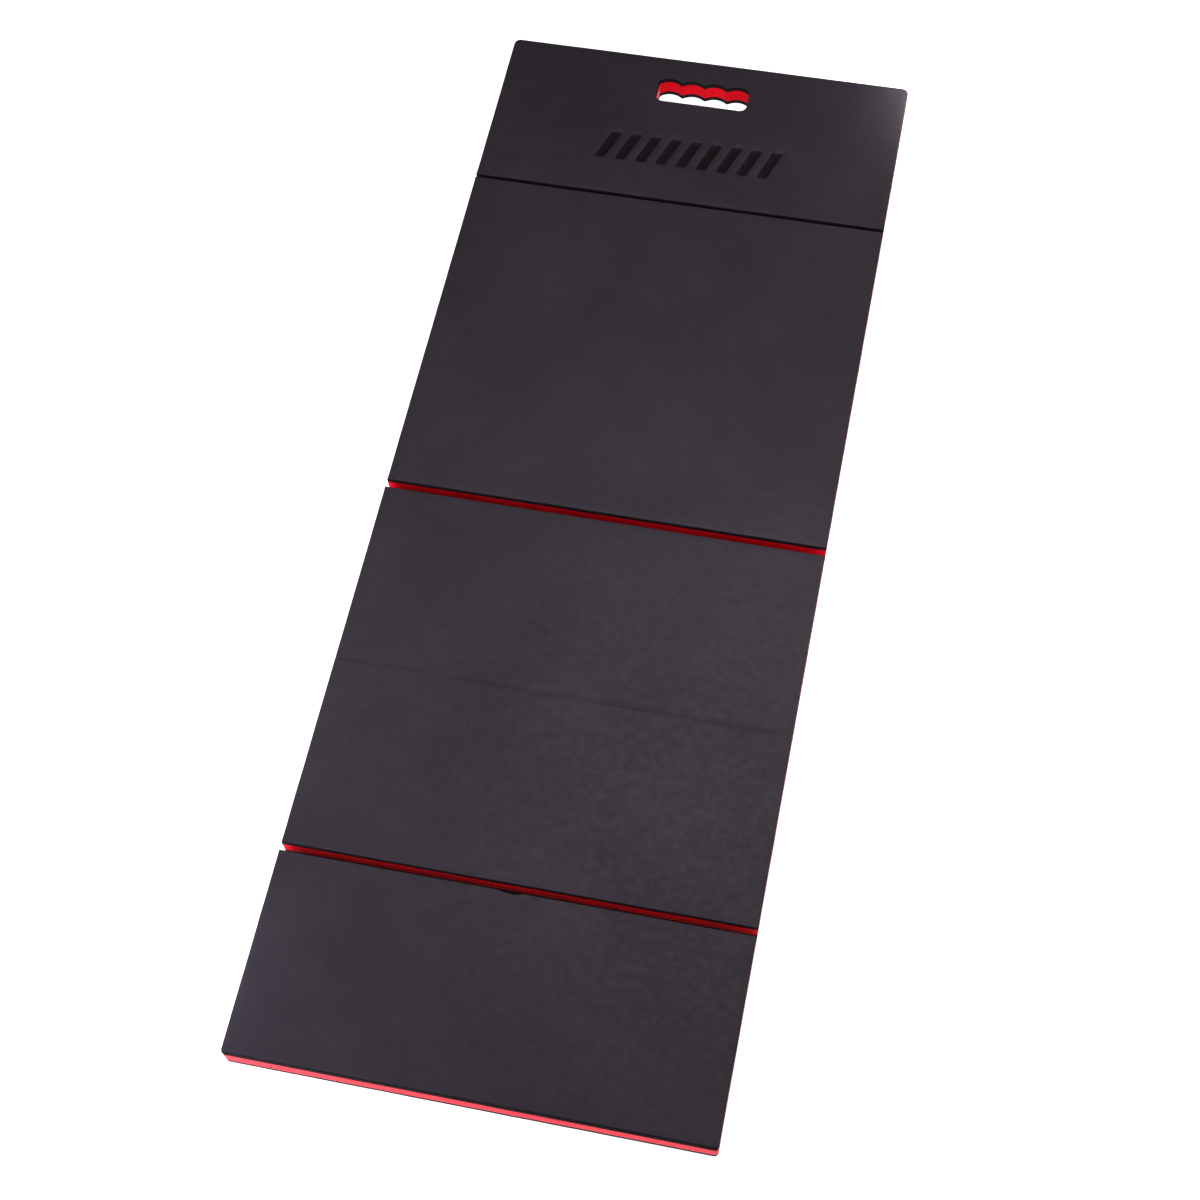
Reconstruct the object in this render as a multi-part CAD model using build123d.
from build123d import *
import os

# A folding mat of closed-cell foam: five rigid panels in a row, joined by four living hinges.
# Every panel is a laminate of a black top skin, a thick red core and a black bottom skin.
# At a fold a groove cuts through the core and one skin, and the other skin carries on as the hinge.
# Millimetres. X runs across the mat, +Y towards the handle end and +Z up.
# The origin is the centre of the footprint, on the underside.

# Driving dimensions
mat_width = 450.0
panel_lengths = {"end": 200.0, "lower": 200.0, "middle": 200.0, "main": 400.0, "handle": 200.0}
skin_thickness = 5.5
core_thickness = 15.0
corner_radii = {"end": 4.0, "handle": 7.0}

# Grooves: two wide ones that show the red core, and two narrow ones.
# Each fold is named after the panel that it frees, so the end fold comes first, before the lower panel.
groove_widths = {"end": 7.0, "middle": 4.5, "main": 8.0, "handle": 3.0}
# The skin that carries on across each groove as its hinge
hinge_skins = {"end": "bottom_skin", "middle": "top_skin", "main": "bottom_skin", "handle": "bottom_skin"}

# Hand slot near the handle end, with a wavy grip for four fingers on its outer side
slot_length = 102.0
slot_inner_side_from_end = 62.0
slot_outer_side_from_end = 30.0
finger_count = 4
finger_depth = 5.0
slot_corner_radius = 7.0
finger_end_radius = 4.0
finger_ridge_radius = 3.0

# Fold lines lie just outside the hinge skin's face, so folded faces end up this far apart
folded_gap = 0.5
# How far each fold line lies from the middle of its groove, towards the handle end
fold_line_offsets = {"end": 0.0, "middle": 0.5, "main": -2.0, "handle": 1.25}

# Worked out from those
mat_length = sum(panel_lengths.values())
thickness = 2 * skin_thickness + core_thickness
handle_end = mat_length / 2
layers = {
    "bottom_skin": (0.0, skin_thickness),
    "core": (skin_thickness, skin_thickness + core_thickness),
    "top_skin": (skin_thickness + core_thickness, thickness),
}


def fold_places():
    """The Y of the middle of each groove."""
    places = {}
    reached = -mat_length / 2
    for fold, length in zip(groove_widths, panel_lengths.values()):
        reached += length
        places[fold] = reached
    return places


def groove_span(fold):
    """The Y range of a groove, from wall to wall."""
    half = groove_widths[fold] / 2
    middle = fold_places()[fold]
    return middle - half, middle + half


def panel_spans():
    """The Y range of each panel, from groove wall to groove wall."""
    walls = [-mat_length / 2]
    for fold in groove_widths:
        walls += groove_span(fold)
    walls.append(mat_length / 2)
    return {panel: (walls[2 * i], walls[2 * i + 1]) for i, panel in enumerate(panel_lengths)}


def sheet(span, height):
    """A flat sheet as wide as the mat, over a Y range and a Z range."""
    size_y = span[1] - span[0]
    size_z = height[1] - height[0]
    block = Box(mat_width, size_y, size_z, align=(Align.CENTER, Align.MIN, Align.MIN))
    return Pos(0, span[0], height[0]) * block


def round_outer_corners(part, panel):
    """Rounds the two upright edges of an end panel's sheet that are corners of the whole mat."""
    upright = part.edges().filter_by(Axis.Z).sort_by(Axis.Y)
    corners = upright[:2] if panel == "end" else upright[-2:]
    return fillet(corners, corner_radii[panel])


def finger_wave(left, ridge_y, crest_y):
    """The slot's outer side: one arc for each finger, meeting in ridges."""
    pitch = slot_length / finger_count
    starts = [left + i * pitch for i in range(finger_count)]
    return [
        ThreePointArc((x, ridge_y), (x + pitch / 2, crest_y), (x + pitch, ridge_y)) for x in starts
    ]


def slot_cutter():
    """The hand slot's space, through the whole thickness of the mat."""
    left = -slot_length / 2
    right = slot_length / 2
    inner_y = handle_end - slot_inner_side_from_end
    crest_y = handle_end - slot_outer_side_from_end
    ridge_y = crest_y - finger_depth
    straight = Polyline((left, ridge_y), (left, inner_y), (right, inner_y), (right, ridge_y))
    outline = make_face([*straight.edges(), *finger_wave(left, ridge_y, crest_y)])

    def corners(y, at_ends):
        """The outline's corners at one Y: those at the slot's two ends, or those between."""
        level = [v for v in outline.vertices() if abs(v.Y - y) < 0.01]
        return [v for v in level if (abs(abs(v.X) - right) < 0.01) == at_ends]

    for y, at_ends, radius in (
        (inner_y, True, slot_corner_radius),
        (ridge_y, True, finger_end_radius),
        (ridge_y, False, finger_ridge_radius),
    ):
        outline = fillet(corners(y, at_ends), radius)
    return extrude(outline, thickness)


def panel_layer(panel, span, height):
    """One layer of one panel, with the mat's corners and the hand slot where they belong."""
    part = sheet(span, height)
    if panel in corner_radii:
        part = round_outer_corners(part, panel)
    if panel == "handle":
        part -= slot_cutter()
    return part


def hinge_strip(fold):
    """The skin that is left whole under or over a groove, and bends as the hinge."""
    return sheet(groove_span(fold), layers[hinge_skins[fold]])


def fold_line(fold):
    """The Y and Z of the line that the fold turns about."""
    hinge_on_top = hinge_skins[fold] == "top_skin"
    y = fold_places()[fold] + fold_line_offsets[fold]
    z = thickness + folded_gap / 2 if hinge_on_top else -folded_gap / 2
    return y, z


def save(name, part):
    """Writes one piece as its own file."""
    part.label = name
    export_step(part, f"parts/{name}.step")


os.makedirs("parts", exist_ok=True)
for panel, span in panel_spans().items():
    for layer, height in layers.items():
        save(f"{panel}_panel_{layer}", panel_layer(panel, span, height))
for fold in groove_widths:
    save(f"{fold}_hinge_strip", hinge_strip(fold))
    print(fold, "fold line at Y, Z:", fold_line(fold))
